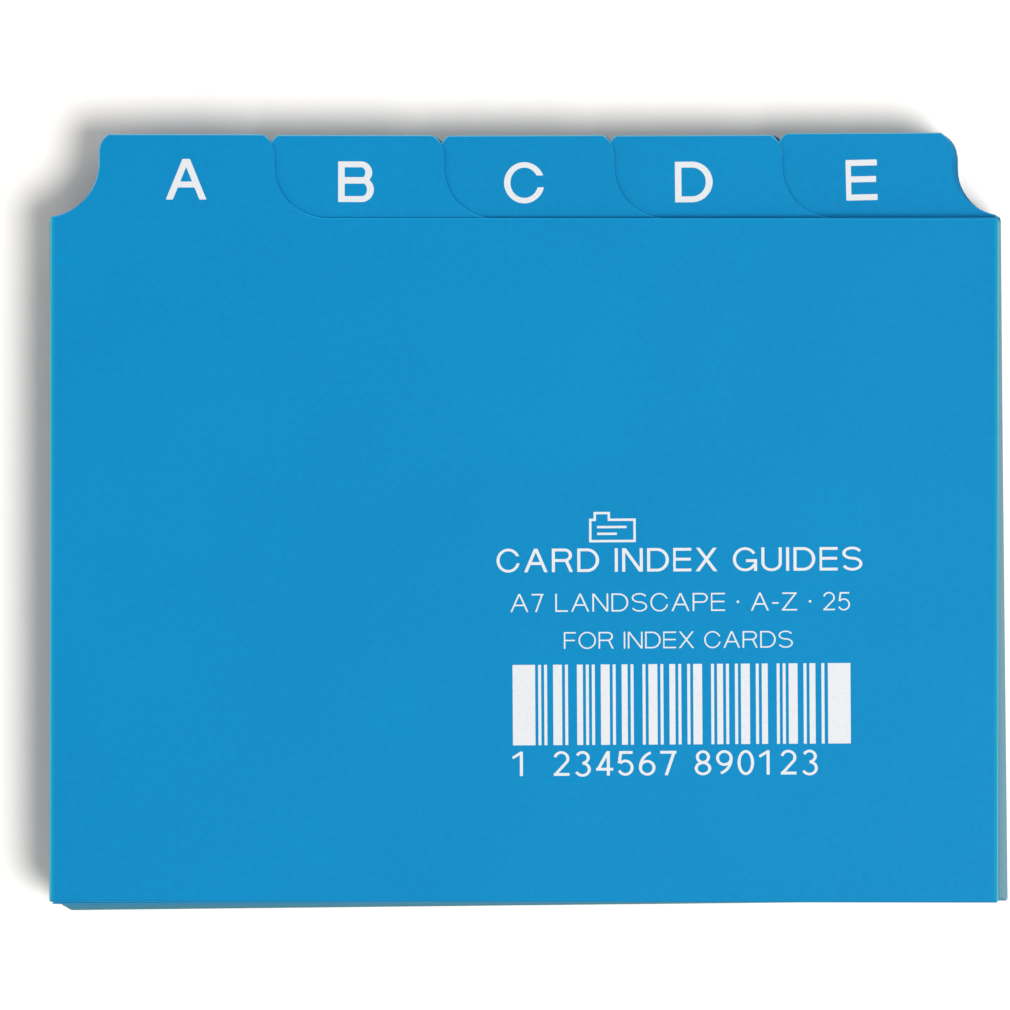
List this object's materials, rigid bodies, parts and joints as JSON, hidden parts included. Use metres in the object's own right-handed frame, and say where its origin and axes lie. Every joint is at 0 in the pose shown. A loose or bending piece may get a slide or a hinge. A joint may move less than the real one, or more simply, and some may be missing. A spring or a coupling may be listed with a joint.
{
  "type": "index card guide set",
  "caption": "Flat pack of loose plastic A to Z index card guides, each with one lettered tab on its long edge, for an A7 landscape card file.",
  "frame": {"origin": "on the underside of the pack, below the middle of guide A's body", "axes": "+Z out of the face of the front guide, +Y towards the tabs, +X to the right as the letters are read, with guide A square to X and Y"},
  "size_m": [0.1069, 0.0867, 0.0087],
  "materials": {
    "blue_sheet": "fine matt grain, blue all the way through",
    "print_white": "thin white screen print"
  },
  "bodies": {
    "guide_a": {"guide_a": "blue_sheet"},
    "guide_b": {"guide_b": "blue_sheet"},
    "guide_c": {"guide_c": "blue_sheet"},
    "guide_d": {"guide_d": "blue_sheet"},
    "guide_e": {"guide_e": "blue_sheet"},
    "guide_f": {"guide_f": "blue_sheet"},
    "guide_g": {"guide_g": "blue_sheet"},
    "guide_h": {"guide_h": "blue_sheet"},
    "guide_i": {"guide_i": "blue_sheet"},
    "guide_j": {"guide_j": "blue_sheet"},
    "guide_k": {"guide_k": "blue_sheet"},
    "guide_l": {"guide_l": "blue_sheet"},
    "guide_m": {"guide_m": "blue_sheet"},
    "guide_n": {"guide_n": "blue_sheet"},
    "guide_o": {"guide_o": "blue_sheet"},
    "guide_p": {"guide_p": "blue_sheet"},
    "guide_q": {"guide_q": "blue_sheet"},
    "guide_r": {"guide_r": "blue_sheet"},
    "guide_s": {"guide_s": "blue_sheet"},
    "guide_t": {"guide_t": "blue_sheet"},
    "guide_u": {"guide_u": "blue_sheet"},
    "guide_v": {"guide_v": "blue_sheet"},
    "guide_w": {"guide_w": "blue_sheet"},
    "guide_xy": {"guide_xy": "blue_sheet"},
    "guide_z": {"guide_z": "blue_sheet"}
  },
  "joints": [
    {"name": "pull_a", "type": "slide", "parent": "guide_z", "child": "guide_a", "axis": [0, 1, 0], "range_m": [0, 0.086]},
    {"name": "pull_b", "type": "slide", "parent": "guide_z", "child": "guide_b", "axis": [0, 1, 0], "range_m": [0, 0.086]},
    {"name": "pull_c", "type": "slide", "parent": "guide_z", "child": "guide_c", "axis": [0, 1, 0], "range_m": [0, 0.086]},
    {"name": "pull_d", "type": "slide", "parent": "guide_z", "child": "guide_d", "axis": [0, 1, 0], "range_m": [0, 0.086]},
    {"name": "pull_e", "type": "slide", "parent": "guide_z", "child": "guide_e", "axis": [0, 1, 0], "range_m": [0, 0.086]},
    {"name": "pull_f", "type": "slide", "parent": "guide_z", "child": "guide_f", "axis": [0, 1, 0], "range_m": [0, 0.086]},
    {"name": "pull_g", "type": "slide", "parent": "guide_z", "child": "guide_g", "axis": [0, 1, 0], "range_m": [0, 0.086]},
    {"name": "pull_h", "type": "slide", "parent": "guide_z", "child": "guide_h", "axis": [0, 1, 0], "range_m": [0, 0.086]},
    {"name": "pull_i", "type": "slide", "parent": "guide_z", "child": "guide_i", "axis": [0, 1, 0], "range_m": [0, 0.086]},
    {"name": "pull_j", "type": "slide", "parent": "guide_z", "child": "guide_j", "axis": [0, 1, 0], "range_m": [0, 0.086]},
    {"name": "pull_k", "type": "slide", "parent": "guide_z", "child": "guide_k", "axis": [0, 1, 0], "range_m": [0, 0.086]},
    {"name": "pull_l", "type": "slide", "parent": "guide_z", "child": "guide_l", "axis": [0, 1, 0], "range_m": [0, 0.086]},
    {"name": "pull_m", "type": "slide", "parent": "guide_z", "child": "guide_m", "axis": [0, 1, 0], "range_m": [0, 0.086]},
    {"name": "pull_n", "type": "slide", "parent": "guide_z", "child": "guide_n", "axis": [0, 1, 0], "range_m": [0, 0.086]},
    {"name": "pull_o", "type": "slide", "parent": "guide_z", "child": "guide_o", "axis": [0, 1, 0], "range_m": [0, 0.086]},
    {"name": "pull_p", "type": "slide", "parent": "guide_z", "child": "guide_p", "axis": [0, 1, 0], "range_m": [0, 0.086]},
    {"name": "pull_q", "type": "slide", "parent": "guide_z", "child": "guide_q", "axis": [0, 1, 0], "range_m": [0, 0.086]},
    {"name": "pull_r", "type": "slide", "parent": "guide_z", "child": "guide_r", "axis": [0, 1, 0], "range_m": [0, 0.086]},
    {"name": "pull_s", "type": "slide", "parent": "guide_z", "child": "guide_s", "axis": [0, 1, 0], "range_m": [0, 0.086]},
    {"name": "pull_t", "type": "slide", "parent": "guide_z", "child": "guide_t", "axis": [0, 1, 0], "range_m": [0, 0.086]},
    {"name": "pull_u", "type": "slide", "parent": "guide_z", "child": "guide_u", "axis": [0, 1, 0], "range_m": [0, 0.086]},
    {"name": "pull_v", "type": "slide", "parent": "guide_z", "child": "guide_v", "axis": [0, 1, 0], "range_m": [0, 0.086]},
    {"name": "pull_w", "type": "slide", "parent": "guide_z", "child": "guide_w", "axis": [0, 1, 0], "range_m": [0, 0.086]},
    {"name": "pull_xy", "type": "slide", "parent": "guide_z", "child": "guide_xy", "axis": [0, 1, 0], "range_m": [0, 0.086]}
  ]
}
